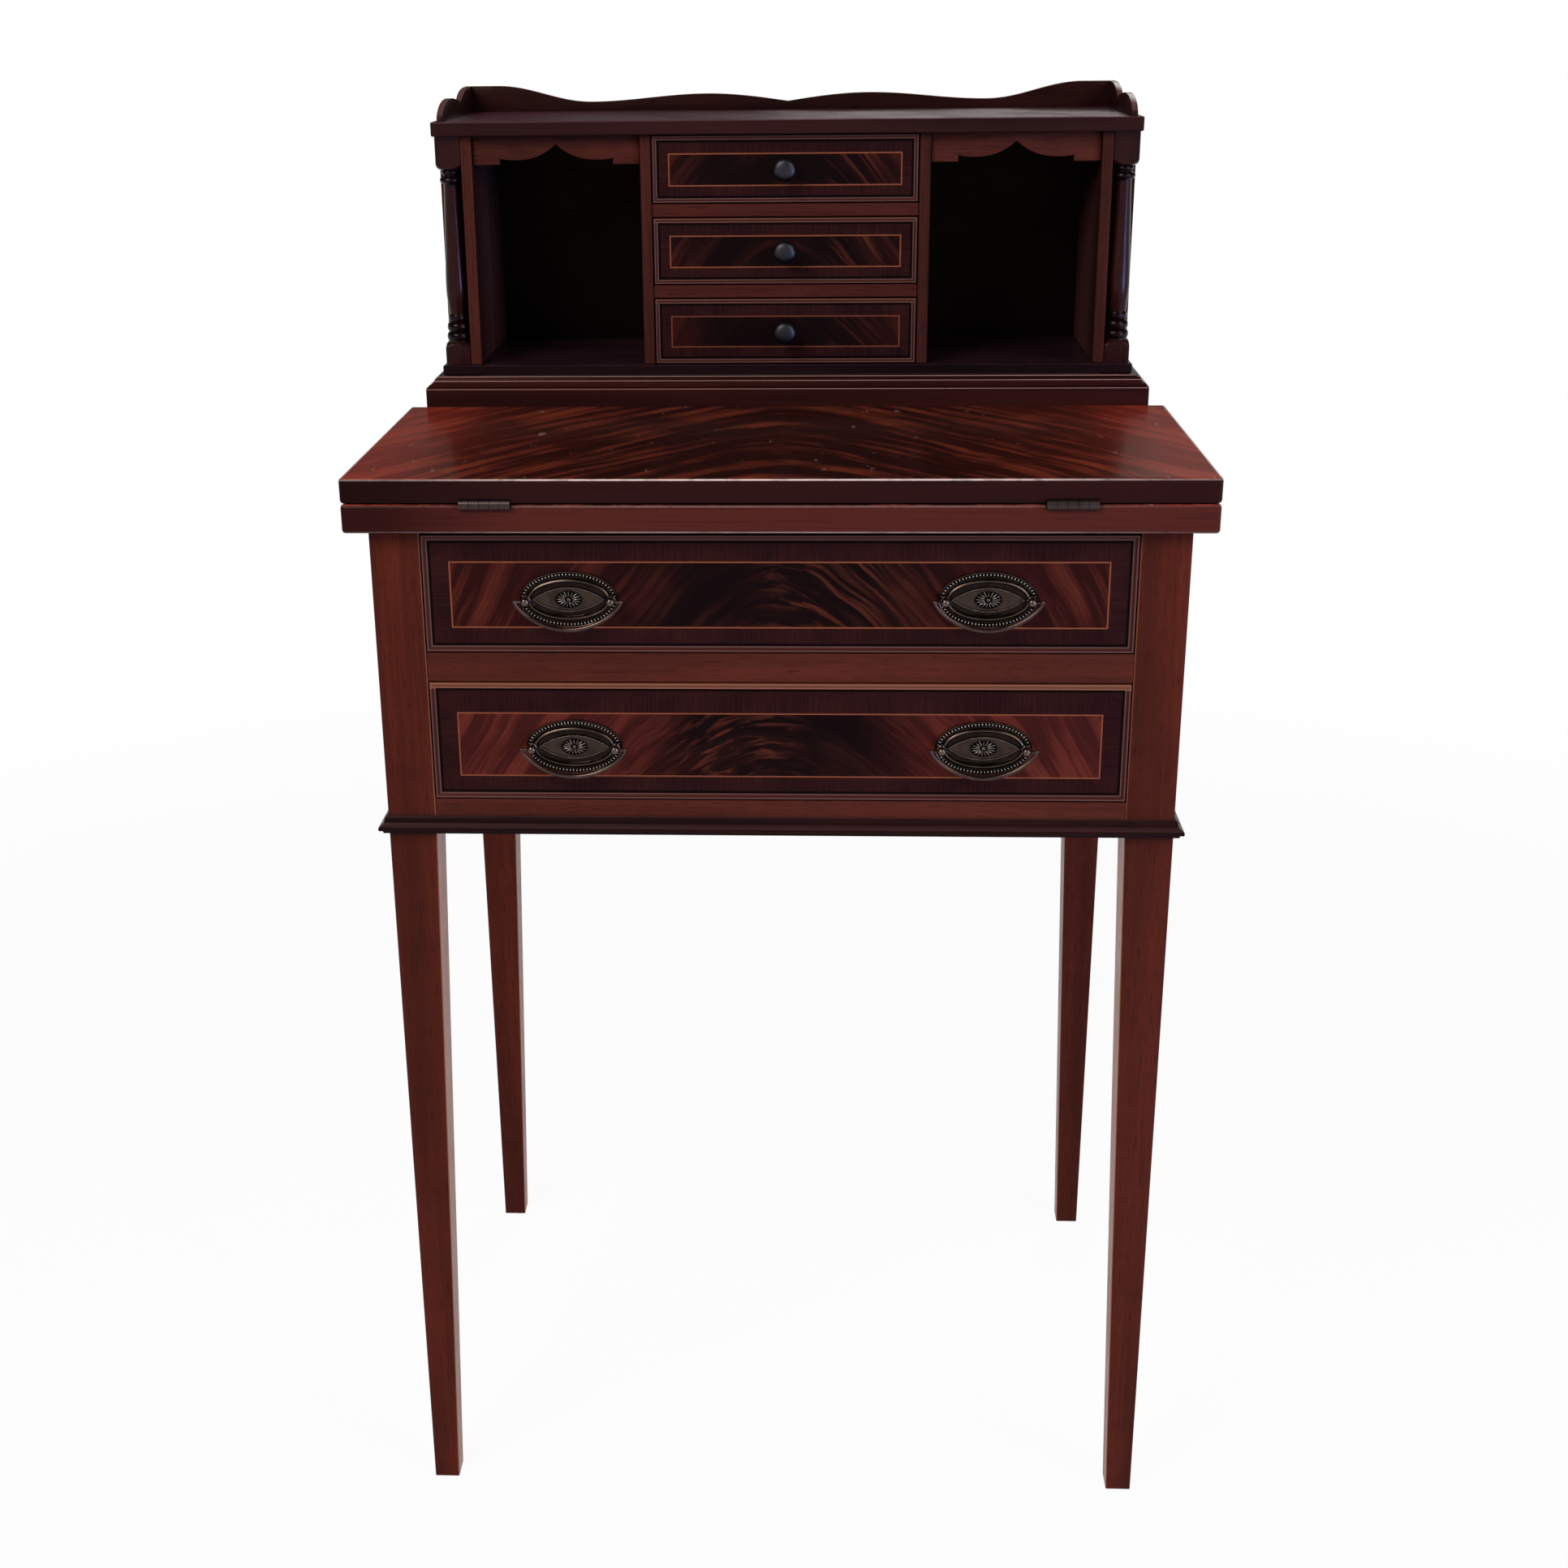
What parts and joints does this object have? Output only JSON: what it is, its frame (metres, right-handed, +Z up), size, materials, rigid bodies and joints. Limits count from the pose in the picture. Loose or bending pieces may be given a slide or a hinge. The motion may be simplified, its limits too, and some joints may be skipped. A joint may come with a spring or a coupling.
{
  "type": "bonheur du jour",
  "caption": "Small mahogany writing desk on tapered legs with long drawers, a fold-over writing leaf and a low cabinet of pigeonholes and small drawers under a scrolled gallery.",
  "frame": {"origin": "on the floor, under the middle of the desk's bounding box", "axes": "+Z up, +X to the right seen from the front, +Y from the front to the back"},
  "size_m": [0.575, 0.4242, 1.0277],
  "materials": {
    "mahogany": "polished solid mahogany",
    "flame_veneer": "flame mahogany veneer with boxwood stringing, polished",
    "dark_mahogany": "dark stained mahogany, polished",
    "drawer_lining": "unpolished lining wood",
    "leather": "smooth desk leather",
    "antique_brass": "dark antique patina",
    "hinge_metal": "dull tarnished metal",
    "knob_bronze": "dark bronze"
  },
  "bodies": {
    "desk": {"leg_front_left": "mahogany", "leg_front_right": "mahogany", "leg_back_left": "mahogany", "leg_back_right": "mahogany", "carcase_side_left": "mahogany", "carcase_side_right": "mahogany", "rail_middle": "mahogany", "rail_bottom": "mahogany", "dust_board_middle": "drawer_lining", "dust_board_bottom": "drawer_lining", "carcase_back": "drawer_lining", "base_moulding": "dark_mahogany", "lower_top": "mahogany", "lower_leather": "leather", "hinge_fixed_left": "hinge_metal", "hinge_fixed_right": "hinge_metal", "cabinet_plinth": "mahogany", "cabinet_floor": "dark_mahogany", "cabinet_side_left": "mahogany", "cabinet_side_right": "mahogany", "cabinet_back": "dark_mahogany", "cabinet_shelf": "mahogany", "divider_left": "mahogany", "divider_right": "mahogany", "small_rail_lower": "mahogany", "small_rail_upper": "mahogany", "column_left": "dark_mahogany", "column_right": "dark_mahogany", "apron_left": "mahogany", "apron_right": "mahogany", "gallery_back": "mahogany", "gallery_side_left": "mahogany", "gallery_side_right": "mahogany"},
    "leaf": {"writing_leaf": "flame_veneer", "leaf_leather": "leather", "hinge_moving_left": "hinge_metal", "hinge_moving_right": "hinge_metal"},
    "upper_drawer": {"long_drawer_front_upper": "flame_veneer", "long_drawer_box_upper": "drawer_lining", "handle_plate_upper_left": "antique_brass", "handle_plate_upper_right": "antique_brass"},
    "lower_drawer": {"long_drawer_front_lower": "flame_veneer", "long_drawer_box_lower": "drawer_lining", "handle_plate_lower_left": "antique_brass", "handle_plate_lower_right": "antique_brass"},
    "upper_left_bail": {"bail_upper_left": "antique_brass"},
    "upper_right_bail": {"bail_upper_right": "antique_brass"},
    "lower_left_bail": {"bail_lower_left": "antique_brass"},
    "lower_right_bail": {"bail_lower_right": "antique_brass"},
    "bottom_small_drawer": {"small_drawer_front_bottom": "flame_veneer", "small_drawer_box_bottom": "drawer_lining", "small_knob_bottom": "knob_bronze"},
    "middle_small_drawer": {"small_drawer_front_middle": "flame_veneer", "small_drawer_box_middle": "drawer_lining", "small_knob_middle": "knob_bronze"},
    "top_small_drawer": {"small_drawer_front_top": "flame_veneer", "small_drawer_box_top": "drawer_lining", "small_knob_top": "knob_bronze"}
  },
  "joints": [
    {"name": "leaf_hinge", "type": "hinge", "parent": "desk", "child": "leaf", "pos_m": [0, -0.20855, 0.7827], "axis": [1, 0, 0], "range_deg": [0, 180]},
    {"name": "upper_drawer_slide", "type": "slide", "parent": "desk", "child": "upper_drawer", "axis": [0, -1, 0], "range_m": [0, 0.25]},
    {"name": "lower_drawer_slide", "type": "slide", "parent": "desk", "child": "lower_drawer", "axis": [0, -1, 0], "range_m": [0, 0.25]},
    {"name": "bottom_small_drawer_slide", "type": "slide", "parent": "desk", "child": "bottom_small_drawer", "axis": [0, -1, 0], "range_m": [0, 0.085]},
    {"name": "middle_small_drawer_slide", "type": "slide", "parent": "desk", "child": "middle_small_drawer", "axis": [0, -1, 0], "range_m": [0, 0.085]},
    {"name": "top_small_drawer_slide", "type": "slide", "parent": "desk", "child": "top_small_drawer", "axis": [0, -1, 0], "range_m": [0, 0.085]},
    {"name": "upper_left_bail_swing", "type": "hinge", "parent": "upper_drawer", "child": "upper_left_bail", "pos_m": [-0.1399, -0.20395, 0.7157], "axis": [-1, 0, 0], "range_deg": [0, 95]},
    {"name": "upper_right_bail_swing", "type": "hinge", "parent": "upper_drawer", "child": "upper_right_bail", "pos_m": [0.1399, -0.20395, 0.7157], "axis": [-1, 0, 0], "range_deg": [0, 95]},
    {"name": "lower_left_bail_swing", "type": "hinge", "parent": "lower_drawer", "child": "lower_left_bail", "pos_m": [-0.1399, -0.20395, 0.6112], "axis": [-1, 0, 0], "range_deg": [0, 95]},
    {"name": "lower_right_bail_swing", "type": "hinge", "parent": "lower_drawer", "child": "lower_right_bail", "pos_m": [0.1399, -0.20395, 0.6112], "axis": [-1, 0, 0], "range_deg": [0, 95]}
  ]
}
